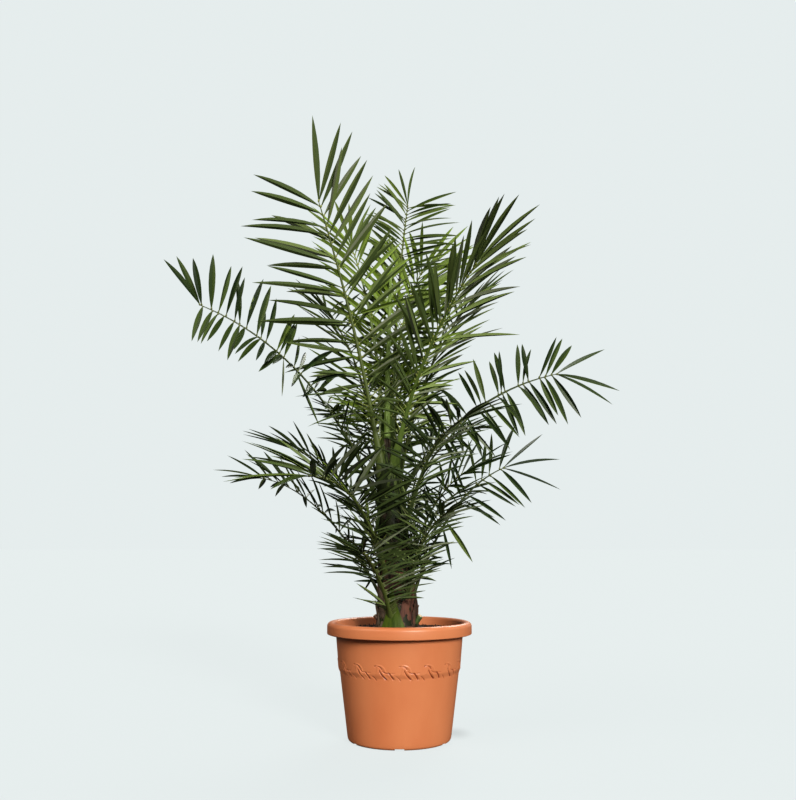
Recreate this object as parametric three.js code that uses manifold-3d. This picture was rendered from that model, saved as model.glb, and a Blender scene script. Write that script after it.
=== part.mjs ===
// A young date palm in a plastic pot.
// Millimetres, +Z up. The origin is the middle of the pot's flat underside.

import * as THREE from 'three';
import { mergeVertices } from 'three/addons/utils/BufferGeometryUtils.js';
import Module from 'manifold-3d';

// ---- Driving dimensions ----

const POT_HEIGHT = 280;
const RIM_RADIUS = 180;
const RIM_BAND = 31;
const RIM_ROUND = 9;
const WALL = 3.5;
const FLOOR_TOP = 8;
const DRAIN_CHANNEL = 4;
const DRAIN_HOLES = 6;
const DRAIN_HOLE_RADIUS = 7;
const DRAIN_RING = 88;
const NOTCH_WIDTH = 22;
const POT_FACETS = 36;

const SOIL_HEIGHT = 262;
const SOIL_FALL = 4;

const TRUNK_TOP = 740;
const TRUNK_LEAN = 27;
const TRUNK_START = -5;
const TRUNK_FACETS = 10;

// How far out in the trunk a stalk starts, as a share of the trunk's radius.
const CLASP = 0.85;

const GAP = 0.4;

// Edges shorter than this are closed up after a cut.
const CLEAN_EDGE = 0.05;

const BLADE_EDGE = 1.6;
const RACHIS_FOOT = 8;
const RACHIS_TIP = 3;
const LEAFLET_SAG = 0.1;
const BLADE_ROWS = 9;
const TIP_ROWS = 2;

// Radius and height along the outside of the pot's wall, below its rim.
const POT_WALL = [
  [127, 9],
  [142.5, 125],
  [145.5, 158],
  [152, 172],
  [158, POT_HEIGHT - RIM_BAND],
];

// Every frond by name: the way it points in degrees from +X, the height of its foot, how far out and
// how high its bend and its tip lie, its longest leaflet, the twist, the leaflets' angle to the midrib
// and their lift in degrees, and the share of its length below the blade.
const FRONDS = {
  crown_left: { way: 219, foot: 640, bend: [90, 980], tip: [222, 1317], leaf: 240,
    twist: [-35, -35], spread: [72, 42], lift: 8, bare: 0.3 },
  crown_right: { way: 303, foot: 660, bend: [110, 930], tip: [370, 1106], leaf: 215,
    twist: [20, 20], spread: [65, 25], lift: 15, bare: 0.3 },
  crown_back: { way: 75, foot: 680, bend: [50, 1120], tip: [205, 1455], leaf: 180,
    twist: [0, 0], spread: [85, 38], lift: 10, bare: 0.3 },
  mid_left: { way: 188, foot: 560, bend: [185, 960], tip: [500, 1079], leaf: 170,
    twist: [0, 75], spread: [80, 35], lift: 20, bare: 0.36 },
  mid_right: { way: 0, foot: 600, bend: [190, 860], tip: [435, 911], leaf: 160,
    twist: [-45, -60], spread: [80, 38], lift: 15, bare: 0.3 },
  low_right: { way: 0, foot: 330, bend: [125, 600], tip: [275, 664], leaf: 150,
    twist: [-15, -65], spread: [80, 42], lift: 15, bare: 0.25 },
  low_left: { way: 152, foot: 330, bend: [220, 620], tip: [430, 654], leaf: 150,
    twist: [-25, -25], spread: [75, 35], lift: 15, bare: 0.25 },
  front_left: { way: 234, foot: 380, bend: [130, 630], tip: [330, 621], leaf: 210,
    twist: [8, 8], spread: [80, 42], lift: 25, bare: 0.25 },
  front_low: { way: 252, foot: 280, bend: [120, 400], tip: [250, 450], leaf: 140,
    twist: [0, 0], spread: [80, 40], lift: 10, bare: 0.2 },
  crown_inner: { way: 50, foot: 720, bend: [10, 1020], tip: [145, 1225], leaf: 250,
    twist: [-30, -30], spread: [60, 25], lift: 10, bare: 0.3 },
  crown_inner_left: { way: 135, foot: 700, bend: [30, 1050], tip: [150, 1300], leaf: 200,
    twist: [30, 30], spread: [60, 30], lift: 10, bare: 0.3 },
  crown_rear_right: { way: 35, foot: 620, bend: [90, 950], tip: [270, 1140], leaf: 190,
    twist: [0, 0], spread: [70, 35], lift: 15, bare: 0.3 },
  crown_rear_left: { way: 125, foot: 600, bend: [120, 980], tip: [340, 1160], leaf: 190,
    twist: [0, 0], spread: [70, 35], lift: 15, bare: 0.3 },
  mid_rear: { way: 88, foot: 520, bend: [150, 900], tip: [420, 970], leaf: 180,
    twist: [0, 0], spread: [80, 38], lift: 15, bare: 0.3 },
  mid_rear_left: { way: 115, foot: 480, bend: [140, 800], tip: [360, 850], leaf: 170,
    twist: [0, 0], spread: [80, 38], lift: 15, bare: 0.3 },
  mid_rear_right: { way: 50, foot: 500, bend: [150, 760], tip: [340, 800], leaf: 150,
    twist: [0, 0], spread: [80, 38], lift: 15, bare: 0.25 },
  mid_front_right: { way: 308, foot: 460, bend: [110, 720], tip: [260, 760], leaf: 160,
    twist: [0, 0], spread: [80, 38], lift: 15, bare: 0.25 },
  mid_side_left: { way: 195, foot: 420, bend: [100, 640], tip: [250, 700], leaf: 150,
    twist: [0, 0], spread: [80, 38], lift: 15, bare: 0.25 },
  low_side_right: { way: 335, foot: 400, bend: [90, 590], tip: [190, 645], leaf: 140,
    twist: [-10, -40], spread: [80, 40], lift: 15, bare: 0.25 },
  low_rear_right: { way: 55, foot: 340, bend: [150, 600], tip: [340, 620], leaf: 150,
    twist: [0, 0], spread: [80, 38], lift: 15, bare: 0.25 },
  low_rear: { way: 105, foot: 310, bend: [160, 560], tip: [380, 580], leaf: 150,
    twist: [0, 0], spread: [80, 38], lift: 15, bare: 0.25 },
  low_front_right: { way: 305, foot: 320, bend: [90, 500], tip: [200, 540], leaf: 130,
    twist: [0, 0], spread: [80, 38], lift: 15, bare: 0.2 },
};

// The cut feet of old fronds: the way each points, its height, length and half-width.
const STUBS = {
  stub_right_low: { way: 340, foot: 268, length: 34, half: 11 },
  stub_right_high: { way: 8, foot: 300, length: 26, half: 9 },
  stub_left: { way: 190, foot: 272, length: 30, half: 7 },
  stub_back: { way: 80, foot: 285, length: 32, half: 10 },
};

const COLOUR = {
  pot: 0xd9824f,
  soil: 0x2a2119,
  trunk: 0x6b5138,
  stub: 0x8f8a4c,
  stalk: 0x6f8a3c,
  spear: 0x86a83e,
  blade: 0x3d5a27,
};

// ---- Solids and booleans ----

const wasm = await Module();
wasm.setup();

/** The shared-vertex triangles of a geometry, without the flat ones at a pole. */
function weld(geometry) {
  const bare = geometry.clone();
  bare.deleteAttribute('normal');
  bare.deleteAttribute('uv');
  const merged = mergeVertices(bare, 1e-4);
  const kept = [];
  for (let i = 0; i < merged.index.count; i += 3) {
    const corner = [0, 1, 2].map((k) => merged.index.getX(i + k));
    if (new Set(corner).size === 3) kept.push(...corner);
  }
  merged.setIndex(kept);
  return merged;
}

function solidOf(geometry) {
  const welded = weld(geometry);
  const vertProperties = new Float32Array(welded.attributes.position.array);
  const triVerts = new Uint32Array(welded.index.array);
  return new wasm.Manifold(new wasm.Mesh({ numProp: 3, vertProperties, triVerts }));
}

function geometryOf(solid) {
  const { vertProperties, triVerts } = solid.getMesh();
  const geometry = new THREE.BufferGeometry();
  geometry.setAttribute('position', new THREE.BufferAttribute(vertProperties, 3));
  geometry.setIndex(new THREE.BufferAttribute(triVerts, 1));
  geometry.computeVertexNormals();
  return geometry;
}

/** How near the nearest vertex of a solid comes to a point. */
function reach(solid, point) {
  const { vertProperties } = solid.getMesh();
  const vertex = new THREE.Vector3();
  let nearest = Infinity;
  for (let i = 0; i < vertProperties.length; i += 3) {
    nearest = Math.min(nearest, vertex.fromArray(vertProperties, i).distanceTo(point));
  }
  return nearest;
}

/** The solid less everything in its way, keeping only the piece that starts at the point. */
function trim(solid, inTheWay, point) {
  let rest = solid;
  for (const other of inTheWay) rest = rest.subtract(other);
  const pieces = rest.decompose();
  const kept = pieces.reduce((best, piece) => (reach(piece, point) < reach(best, point) ? piece : best));
  return kept.simplify(CLEAN_EDGE);
}

// ---- Shapes along a curve ----

/** Moves the points of a unit shape, whose Y runs along it, to where place(x, along, z) puts them. */
function shape(unit, place) {
  const position = unit.attributes.position;
  for (let i = 0; i < position.count; i += 1) {
    const target = place(position.getX(i), position.getY(i) + 0.5, position.getZ(i));
    position.setXYZ(i, target.x, target.y, target.z);
  }
  return unit;
}

/** A rod of oval section: frame(v) gives its axis, and half(v) its half width and half depth. */
function rod(frame, half, sides, rings) {
  return shape(new THREE.CylinderGeometry(1, 1, 1, sides, rings), (x, v, z) => {
    const { point, side, up } = frame(v);
    const [width, depth] = half(v);
    return point.clone().addScaledVector(side, x * width).addScaledVector(up, z * depth);
  });
}

/** The middle of the trunk at a height: it leans to the left as it rises. */
function trunkAxis(height) {
  const rise = THREE.MathUtils.clamp((height - SOIL_HEIGHT) / (TRUNK_TOP - SOIL_HEIGHT), 0, 1.1);
  return new THREE.Vector3(TRUNK_START - TRUNK_LEAN * rise ** 1.3, 0, height);
}

/** The trunk's radius at a height: a root flare, a slow taper and a rounded tip. */
function trunkRadius(height) {
  const rise = THREE.MathUtils.clamp((height - SOIL_HEIGHT) / (TRUNK_TOP - SOIL_HEIGHT), 0, 1);
  const flare = 8 * Math.exp(-rise * 12);
  return (44 - 16 * rise + flare) * Math.sqrt(1 - 0.75 * rise ** 6);
}

function wayOut(degrees) {
  const angle = THREE.MathUtils.degToRad(degrees);
  return new THREE.Vector3(Math.cos(angle), Math.sin(angle), 0);
}

// ---- Pot, soil and trunk ----

const vector = ([radius, height]) => new THREE.Vector2(radius, height);

function lathe(profile, facets) {
  return new THREE.LatheGeometry(profile.map(vector), facets).rotateX(Math.PI / 2);
}

/** The thin-walled pot: flat foot with a drain channel, stepped wall and turned-over rim. */
function potSolid() {
  const foot = [[0, 0], [66, 0], [70, DRAIN_CHANNEL], [106, DRAIN_CHANNEL], [110, 0], [119, 0]];
  const band = POT_HEIGHT - RIM_BAND;
  const under = [[165, POT_HEIGHT - 7], [RIM_RADIUS - WALL, POT_HEIGHT - 11], [RIM_RADIUS - WALL, band]];
  const crest = RIM_RADIUS - RIM_ROUND;
  const rim = [[RIM_RADIUS, band], [RIM_RADIUS, POT_HEIGHT - RIM_ROUND], [crest + 6, POT_HEIGHT - 2],
    [crest, POT_HEIGHT], [crest - 6, POT_HEIGHT - 2]];
  const inside = POT_WALL.map(([radius, height]) => [radius - WALL, height]).reverse();
  const floor = [[120, FLOOR_TOP], [0, FLOOR_TOP]];
  const profile = [...foot, ...POT_WALL, ...under, ...rim, ...inside.slice(0, -1), ...floor];
  let pot = solidOf(lathe(profile, POT_FACETS));
  for (let i = 0; i < DRAIN_HOLES; i += 1) {
    const turn = (i / DRAIN_HOLES) * 2 * Math.PI - Math.PI / 2;
    const hole = new THREE.CylinderGeometry(DRAIN_HOLE_RADIUS, DRAIN_HOLE_RADIUS, 40, 12);
    hole.rotateX(Math.PI / 2).translate(DRAIN_RING, 0, 0).rotateZ(turn + Math.PI / DRAIN_HOLES);
    const notch = new THREE.BoxGeometry(40, NOTCH_WIDTH, 2 * DRAIN_CHANNEL);
    notch.translate(124, 0, 0).rotateZ(turn);
    pot = pot.subtract(solidOf(hole)).subtract(solidOf(notch));
  }
  return pot;
}

/** The potting mix: it fills the pot and lies a little higher round the foot of the palm. */
function soilSolid() {
  const clear = WALL + GAP;
  const inside = POT_WALL.slice(1).map(([radius, height]) => [radius - clear, height]);
  const top = [[POT_WALL.at(-1)[0] - clear, SOIL_HEIGHT - SOIL_FALL], [70, SOIL_HEIGHT], [0, SOIL_HEIGHT]];
  const bottom = [[0, FLOOR_TOP + GAP], [120 - clear, FLOOR_TOP + GAP]];
  return solidOf(lathe([...bottom, ...inside, ...top], POT_FACETS));
}

/** The trunk, or with a margin the room that other pieces leave for it. */
function trunkSolid(margin) {
  const bottom = SOIL_HEIGHT + GAP - margin;
  const height = TRUNK_TOP + margin - bottom;
  const frame = (v) => ({
    point: trunkAxis(bottom + v * height),
    side: new THREE.Vector3(1, 0, 0),
    up: new THREE.Vector3(0, -1, 0),
  });
  const half = (v) => Array(2).fill(trunkRadius(bottom + v * height) + margin);
  return solidOf(rod(frame, half, TRUNK_FACETS, 12));
}

// ---- Fronds ----

/** A frond's midrib: its curve, and the frame that its stalk and blade are laid out on. */
function midrib({ way, foot, bend, tip, twist, bare }) {
  const out = wayOut(way);
  const side = new THREE.Vector3(out.y, -out.x, 0);
  const axis = trunkAxis(foot).setZ(0);
  const at = ([away, height]) => axis.clone().addScaledVector(out, away).setZ(height);
  const start = at([trunkRadius(foot) * CLASP, foot]);
  const curve = new THREE.QuadraticBezierCurve3(start, at(bend), at(tip));
  const frame = (u) => {
    const point = curve.getPointAt(Math.min(u, 1));
    const along = curve.getTangentAt(Math.min(u, 1));
    const share = THREE.MathUtils.clamp((u - bare) / (1 - bare), 0, 1);
    const roll = THREE.MathUtils.degToRad(THREE.MathUtils.lerp(twist[0], twist[1], share));
    const turned = side.clone().applyAxisAngle(along, -roll);
    return { point, along, side: turned, up: turned.clone().cross(along) };
  };
  return { frame, length: curve.getLength() };
}

/** A frond's stalk, broad where it clasps the trunk and slim where the blade starts. */
function stalkSolid(frond, margin) {
  const { frame, length } = midrib(frond);
  const end = frond.bare - GAP / length;
  const half = (v) => [5 + 11 * (1 - v) ** 3 + margin, 4 + 4 * (1 - v) ** 3 + margin];
  return solidOf(rod((v) => frame(v * end), half, 6, 5));
}

/** Where the tip of a leaflet lies, on one hand of the midrib and at an angle to it. */
function leafletTip({ point, along, side, up }, hand, angle, lift, length) {
  const outward = side.clone().multiplyScalar(hand * Math.cos(lift)).addScaledVector(up, Math.sin(lift));
  const tip = point.clone().addScaledVector(along, length * Math.cos(angle));
  tip.addScaledVector(outward, length * Math.sin(angle));
  tip.z -= LEAFLET_SAG * length;
  return tip;
}

/** A unit sheet, two strips wide, whose top and underside are split along the same diagonals. */
function unitSheet(rows) {
  const sheet = new THREE.BoxGeometry(2, 1, 1, 2, rows, 1);
  const corner = sheet.index.array;
  const underside = sheet.groups[5];
  for (let i = underside.start; i < underside.start + underside.count; i += 6) {
    const [a, b, d, , c] = corner.slice(i, i + 5);
    corner.set([a, b, c, a, c, d], i);
  }
  return sheet;
}

/** A frond's blade: a thin sheet from the midrib out to the tips of its leaflets. */
function bladeSolid(frond, margin) {
  const { frame, length } = midrib(frond);
  const { bare, leaf, spread } = frond;
  const lift = THREE.MathUtils.degToRad(frond.lift);
  const [wide, narrow] = spread.map(THREE.MathUtils.degToRad);
  const rows = BLADE_ROWS + TIP_ROWS;
  return solidOf(shape(unitSheet(rows), (hand, v, layer) => {
    const w = Math.min((v * rows) / BLADE_ROWS, 1);
    const beyond = Math.max((v * rows - BLADE_ROWS) / TIP_ROWS, 0);
    const place = frame(bare + (1 - bare) * w - (v === 0 ? margin / length : 0));
    const full = leaf * (0.5 + 0.5 * THREE.MathUtils.smoothstep(w, 0, 0.3)) * (1 - 0.1 * w) + margin;
    const angle = (narrow + (wide - narrow) * (1 - w) ** 0.7) * (1 - 0.95 * beyond);
    const target = hand === 0
      ? place.point.clone().addScaledVector(place.along, full * 0.97 * beyond)
      : leafletTip(place, hand, angle, lift * (1 - beyond), full);
    if (hand === 0) target.z -= LEAFLET_SAG * full * beyond;
    const rachis = THREE.MathUtils.lerp(RACHIS_FOOT, RACHIS_TIP, w);
    const thick = THREE.MathUtils.lerp(hand === 0 ? rachis : BLADE_EDGE, BLADE_EDGE, beyond) + 2 * margin;
    return target.addScaledVector(place.up, layer * thick);
  }));
}

/** The newest frond, still folded into a rod in the heart of the crown. */
function spearSolid(margin) {
  const frame = (v) => ({
    point: new THREE.Vector3(-32 + 14 * v * v, 0, TRUNK_TOP + GAP - margin + v * (520 + 2 * margin)),
    side: new THREE.Vector3(1, 0, 0),
    up: new THREE.Vector3(0, -1, 0),
  });
  return solidOf(rod(frame, (v) => Array(2).fill(9 - 6.5 * v + margin), 6, 5));
}

/** The cut foot of an old frond, standing out and up from the trunk. */
function stubSolid({ way, foot, length, half }, margin) {
  const out = wayOut(way);
  const along = out.clone().multiplyScalar(0.6).setZ(0.8);
  const side = new THREE.Vector3(out.y, -out.x, 0);
  const start = trunkAxis(foot).addScaledVector(out, trunkRadius(foot) * 0.8);
  const frame = (v) => ({
    point: start.clone().addScaledVector(along, v * (length + margin)),
    side,
    up: side.clone().cross(along),
  });
  return solidOf(rod(frame, (v) => [half * (1.15 - 0.3 * v) + margin, half * 0.55 + margin], 8, 2));
}

// ---- The palm ----

const palm = new THREE.Group();

function addPiece(name, solid, colour, roughness = 0.6) {
  const material = new THREE.MeshStandardMaterial({ color: colour, roughness, metalness: 0 });
  const mesh = new THREE.Mesh(geometryOf(solid), material);
  mesh.name = name;
  palm.add(mesh);
}

addPiece('pot', potSolid(), COLOUR.pot, 0.45);
addPiece('soil', soilSolid(), COLOUR.soil, 0.95);
addPiece('trunk', trunkSolid(0), COLOUR.trunk, 0.85);
addPiece('spear', spearSolid(0), COLOUR.spear);

const ground = solidOf(new THREE.BoxGeometry(300, 300, 40).translate(0, 0, SOIL_HEIGHT + GAP - 20));
const inTheWay = [ground, trunkSolid(GAP), spearSolid(GAP)];

for (const [name, frond] of Object.entries(FRONDS)) {
  const end = midrib(frond).frame(frond.bare).point;
  addPiece(`frond_${name}_stalk`, trim(stalkSolid(frond, 0), inTheWay, end), COLOUR.stalk);
  inTheWay.push(stalkSolid(frond, GAP));
}

for (const [name, stub] of Object.entries(STUBS)) {
  const out = wayOut(stub.way);
  const end = trunkAxis(stub.foot + stub.length).addScaledVector(out, trunkRadius(stub.foot) + stub.length);
  addPiece(name, trim(stubSolid(stub, 0), inTheWay, end), COLOUR.stub, 0.8);
  inTheWay.push(stubSolid(stub, GAP));
}

for (const [name, frond] of Object.entries(FRONDS)) {
  const start = midrib(frond).frame(frond.bare).point;
  addPiece(`frond_${name}_blade`, trim(bladeSolid(frond, 0), inTheWay, start), COLOUR.blade);
  inTheWay.push(bladeSolid(frond, GAP));
}

export default palm;
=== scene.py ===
"""A young date palm in a plastic pot: every visible surface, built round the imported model.

Metres, +Z up, the origin in the middle of the pot's flat underside.
"""

import math

import bpy
import numpy as np
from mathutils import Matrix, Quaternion, Vector, noise


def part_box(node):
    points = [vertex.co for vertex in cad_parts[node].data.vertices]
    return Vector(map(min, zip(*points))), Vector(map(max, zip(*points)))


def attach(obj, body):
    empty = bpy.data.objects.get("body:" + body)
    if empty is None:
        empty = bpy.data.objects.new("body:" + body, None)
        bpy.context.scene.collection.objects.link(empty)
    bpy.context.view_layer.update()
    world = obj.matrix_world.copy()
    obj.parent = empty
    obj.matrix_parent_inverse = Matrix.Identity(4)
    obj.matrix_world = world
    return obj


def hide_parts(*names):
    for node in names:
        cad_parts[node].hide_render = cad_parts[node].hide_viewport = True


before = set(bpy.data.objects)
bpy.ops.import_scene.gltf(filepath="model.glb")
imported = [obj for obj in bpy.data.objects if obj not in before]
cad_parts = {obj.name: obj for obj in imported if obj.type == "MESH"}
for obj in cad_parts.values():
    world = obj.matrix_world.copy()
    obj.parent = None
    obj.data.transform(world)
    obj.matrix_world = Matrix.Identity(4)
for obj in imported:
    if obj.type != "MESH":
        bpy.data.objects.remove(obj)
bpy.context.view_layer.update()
dice = np.random.default_rng(22)

# ---- The room ----
# A pale, evenly lit studio: a matt floor that runs into a backdrop of the same colour, both aglow for
# the camera alone. A broad soft light stands at the front right, weaker ones at the back and the
# upper left, and the walls are brighter on the right.

BACKDROP = (0.670, 0.715, 0.715)
WALL_TINT = (0.97, 1.0, 1.0)
WALLS_LEFT = 0.09
WALLS_RIGHT = 0.36
FLOOR_COLOUR = (0.060, 0.065, 0.065)
FLOOR_GLOW = 0.915
# A soft patch of shade on the floor beside the pot: its middle, its reach, and the glow left in it.
SHADE_MIDDLE = (0.140, 0.070, 0)
SHADE_REACH = (0.055, 0.095, 1)
SHADE_GLOW = 0.80


def plug(tree, node, sockets):
    """Gives each of a node's inputs a value, or another node's output."""
    for socket, given in sockets.items():
        if isinstance(given, bpy.types.NodeSocket):
            tree.links.new(given, node.inputs[socket])
        else:
            node.inputs[socket].default_value = given


def new_node(tree, kind, sockets=None, **settings):
    """A shader node with its settings and its inputs."""
    node = tree.nodes.new("ShaderNode" + kind)
    for setting, value in settings.items():
        setattr(node, setting, value)
    plug(tree, node, sockets or {})
    return node


scene = bpy.context.scene
scene.view_settings.view_transform = "Standard"
scene.view_settings.look = "Medium High Contrast"

room = bpy.data.worlds.new("room")
room.use_nodes = True
air = room.node_tree
air.nodes.clear()
facing = new_node(air, "TexCoord")
facing_axes = new_node(air, "SeparateXYZ", {0: facing.outputs["Generated"]})
side_light = new_node(air, "MapRange", {
    "Value": facing_axes.outputs["X"], "From Min": -0.9, "From Max": 0.9,
    "To Min": WALLS_LEFT, "To Max": WALLS_RIGHT})
walls = new_node(air, "Background", {
    "Color": (*WALL_TINT, 1), "Strength": side_light.outputs["Result"]})
backdrop = new_node(air, "Background", {"Color": (*BACKDROP, 1)})
seen = new_node(air, "LightPath")
either = new_node(air, "MixShader", {
    "Fac": seen.outputs["Is Camera Ray"], 1: walls.outputs[0], 2: backdrop.outputs[0]})
new_node(air, "OutputWorld", {"Surface": either.outputs[0]})
scene.world = room


def studio_light(name, toward, strength, softness, colour):
    """A distant soft light: toward is the direction from the palm to the light."""
    lamp = bpy.data.lights.new(name, "SUN")
    lamp.energy = strength
    lamp.angle = math.radians(softness)
    lamp.color = colour
    holder = bpy.data.objects.new(name, lamp)
    holder.rotation_euler = Vector(toward).to_track_quat("Z", "Y").to_euler()
    scene.collection.objects.link(holder)


studio_light("key_light", (0.45, -1.0, 0.42), 2.95, 16, (1.0, 0.98, 0.94))
studio_light("back_light", (0.30, 1.0, 0.90), 1.5, 30, (1.0, 1.0, 0.96))
studio_light("top_light", (-0.75, -0.55, 0.75), 1.05, 40, (1.0, 0.94, 0.87))

bpy.ops.mesh.primitive_plane_add(size=400)
floor = bpy.context.object
floor.name = "floor"
floor_paint = bpy.data.materials.new("floor_paint")
floor_paint.use_nodes = True
ground = floor_paint.node_tree
on_floor = new_node(ground, "TexCoord")
beside_foot = new_node(ground, "Mapping", {
    "Vector": on_floor.outputs["Object"], "Location": SHADE_MIDDLE, "Scale": SHADE_REACH},
    vector_type="TEXTURE")
how_near = new_node(ground, "VectorMath", {0: beside_foot.outputs["Vector"]}, operation="LENGTH")
shade = new_node(ground, "MapRange", {
    "Value": how_near.outputs["Value"], "To Min": SHADE_GLOW * FLOOR_GLOW, "To Max": FLOOR_GLOW},
    interpolation_type="SMOOTHSTEP")
floor_seen = new_node(ground, "LightPath")
floor_glow = new_node(ground, "Math", {
    0: floor_seen.outputs["Is Camera Ray"], 1: shade.outputs["Result"]}, operation="MULTIPLY")
plug(ground, ground.nodes["Principled BSDF"], {
    "Base Color": (*FLOOR_COLOUR, 1), "Roughness": 1, "Specular IOR Level": 0,
    "Emission Color": (*BACKDROP, 1), "Emission Strength": floor_glow.outputs[0]})
floor.data.materials.append(floor_paint)

lens = bpy.data.cameras.new("camera")
lens.sensor_width = 36
lens.lens = 38.43
camera = bpy.data.objects.new("camera", lens)
camera.location = (-0.0035, -2.2, 0.462)
camera.rotation_euler = (math.radians(99.8), 0, 0)
scene.collection.objects.link(camera)
scene.camera = camera

# ---- The pot ----
# A terracotta-coloured pot of injection-moulded plastic, 360 mm across its turned-over rim. The
# wall steps in where a running leaf ornament is moulded round it, and the foot has a drain channel
# with holes and notches.

POT_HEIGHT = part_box("pot")[1].z
RIM_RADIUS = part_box("pot")[1].x
RIM_FOOT = POT_HEIGHT - 0.029
AROUND = 768
MOTIFS = 16
FRIEZE_LOW = 0.148
FRIEZE_HIGH = 0.199
FRIEZE_ROWS = 46
LEDGE_LOW = 0.160
LEDGE_HIGH = 0.173
FOOT_WALL = (0.127, 0.009)
LEDGE_WALL = (0.1468, 0.1508)
RIM_WALL = 0.158
WALL = 0.0035
FLOOR_TOP = 0.008
DRAINS = 6
DRAIN_OUT = 0.088
DRAIN_RADIUS = 0.007
NOTCH_OUT = 0.124
NOTCH_SIZE = (0.04, 0.022, 0.008)


def turned(name, profile, around):
    """A body turned on a lathe: rings of the profile's radii and heights, closed at both ends."""
    (radius, height), *rest = profile
    bpy.ops.mesh.primitive_circle_add(
        vertices=around, radius=radius, fill_type="NGON", location=(0, 0, height))
    body = bpy.context.object
    body.name = name
    bpy.ops.object.transform_apply()
    bpy.ops.object.mode_set(mode="EDIT")
    for wide, tall in rest:
        bpy.ops.mesh.extrude_edges_move(TRANSFORM_OT_translate={"value": (0, 0, tall - height)})
        bpy.ops.transform.resize(value=(wide / radius, wide / radius, 1))
        radius, height = wide, tall
    bpy.ops.mesh.edge_face_add()
    bpy.ops.mesh.select_all(action="SELECT")
    bpy.ops.mesh.normals_make_consistent(inside=False)
    bpy.ops.object.mode_set(mode="OBJECT")
    return body


def smooth_shaded(piece, degrees):
    bpy.ops.object.select_all(action="DESELECT")
    piece.select_set(True)
    bpy.context.view_layer.objects.active = piece
    bpy.ops.object.shade_smooth_by_angle(angle=math.radians(degrees))


def corners(piece):
    flat = np.empty(len(piece.data.vertices) * 3)
    piece.data.vertices.foreach_get("co", flat)
    return flat.reshape(-1, 3)


def set_corners(piece, places):
    piece.data.vertices.foreach_set("co", np.asarray(places, np.float32).ravel())
    piece.data.update()


def arc(middle, radius, start, end, steps):
    """Points of a round corner, from a start to an end angle in degrees."""
    turns = [math.radians(start + (end - start) * i / steps) for i in range(steps + 1)]
    return [(middle[0] + radius * math.cos(t), middle[1] + radius * math.sin(t)) for t in turns]


def smoothstep(low, high, value):
    x = np.clip((np.asarray(value, float) - low) / (high - low), 0, 1)
    return x * x * (3 - 2 * x)


def wall_radius(height):
    """The outside of the wall: a straight taper below the ledge and another above it."""
    low, high = LEDGE_WALL
    below = FOOT_WALL[0] + (low - FOOT_WALL[0]) * (height - FOOT_WALL[1]) / (LEDGE_LOW - FOOT_WALL[1])
    above = high + (RIM_WALL - high) * (height - LEDGE_HIGH) / (RIM_FOOT - LEDGE_HIGH)
    return below + (above - below) * smoothstep(LEDGE_LOW, LEDGE_HIGH, height)


foot = [(0.066, 0.0), (0.0665, 0.0), (0.070, 0.004), (0.106, 0.004), (0.1095, 0.0), (0.110, 0.0)]
foot += arc((0.1185, 0.008), 0.008, -90, -8, 6)
low_wall = [(wall_radius(z), z) for z in np.linspace(0.012, FRIEZE_LOW - 0.002, 10)]
frieze_wall = [(wall_radius(z), z) for z in np.linspace(FRIEZE_LOW, FRIEZE_HIGH, FRIEZE_ROWS)]
high_wall = [(wall_radius(z), z) for z in np.linspace(FRIEZE_HIGH + 0.006, RIM_FOOT - 0.004, 6)]
under_rim = arc((RIM_WALL + 0.006, RIM_FOOT), 0.006, 180, 90, 4)
under_rim += [(RIM_RADIUS - 0.0060, RIM_FOOT + 0.0070), (RIM_RADIUS - 0.0042, RIM_FOOT + 0.0050),
              (RIM_RADIUS - 0.0042, RIM_FOOT + 0.0012)]
rim = arc((RIM_RADIUS - 0.0030, RIM_FOOT + 0.0015), 0.0015, 200, 270, 3)
rim += arc((RIM_RADIUS - 0.0025, RIM_FOOT + 0.0025), 0.0025, -80, 0, 5)
rim += arc((RIM_RADIUS - 0.0100, POT_HEIGHT - 0.0100), 0.0100, 0, 90, 10)
rim += arc((RIM_RADIUS - 0.0125, POT_HEIGHT - 0.0080), 0.0080, 96, 175, 6)
inner_wall = [(RIM_WALL - WALL, RIM_FOOT), (0.1485, 0.172), (0.142, 0.158), (0.139, 0.125)]
inner_foot = arc((0.117, FLOOR_TOP + 0.006), 0.006, 0, -90, 4) + [(0.060, FLOOR_TOP)]
pot = turned("pot_body", foot + low_wall + frieze_wall + high_wall + under_rim + rim
             + inner_wall + inner_foot, AROUND)

# Each stroke of the ornament: its start, bend and end in millimetres along and up the wall, its half
# width at both ends, and how deep it is cut. A negative depth stands out from the wall.
STROKES = [
    ((0, 31), (13, 35), (19, 20), 1.0, 0.8, 1.7),
    ((19, 20), (23, 14), (46, 16), 0.8, 0.9, 1.5),
    ((11, 22), (14, 12), (26, 2), 0.7, 1.7, 2.3),
    ((33, 16), (37, 12), (43, 2), 1.2, 1.4, 2.2),
    ((50, 8), (55, 6), (60, -1), 0.7, 1.0, 1.5),
    ((8, 27), (7, 18), (3, 13), 1.6, 0.8, -0.9),
    ((6, 32), (21, 35), (26, 18), 2.0, 1.4, -1.1),
    ((17, 22), (20, 11), (31, 2), 1.5, 2.0, -1.0),
    ((38, 15), (43, 11), (48, 3), 1.2, 1.6, -0.8),
]
MOTIF_BASE = 0.159
MOTIF_LONG = math.tau * LEDGE_WALL[0] * 1000 / MOTIFS
RELIEF_SHARE = 0.9
# The depth at which the painted shade in a groove is full, and how far that painted shade darkens the
# colour.
GROOVE_SHADE_DEPTH = 0.0015
GROOVE_SHADE_STRENGTH = -0.72


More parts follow.
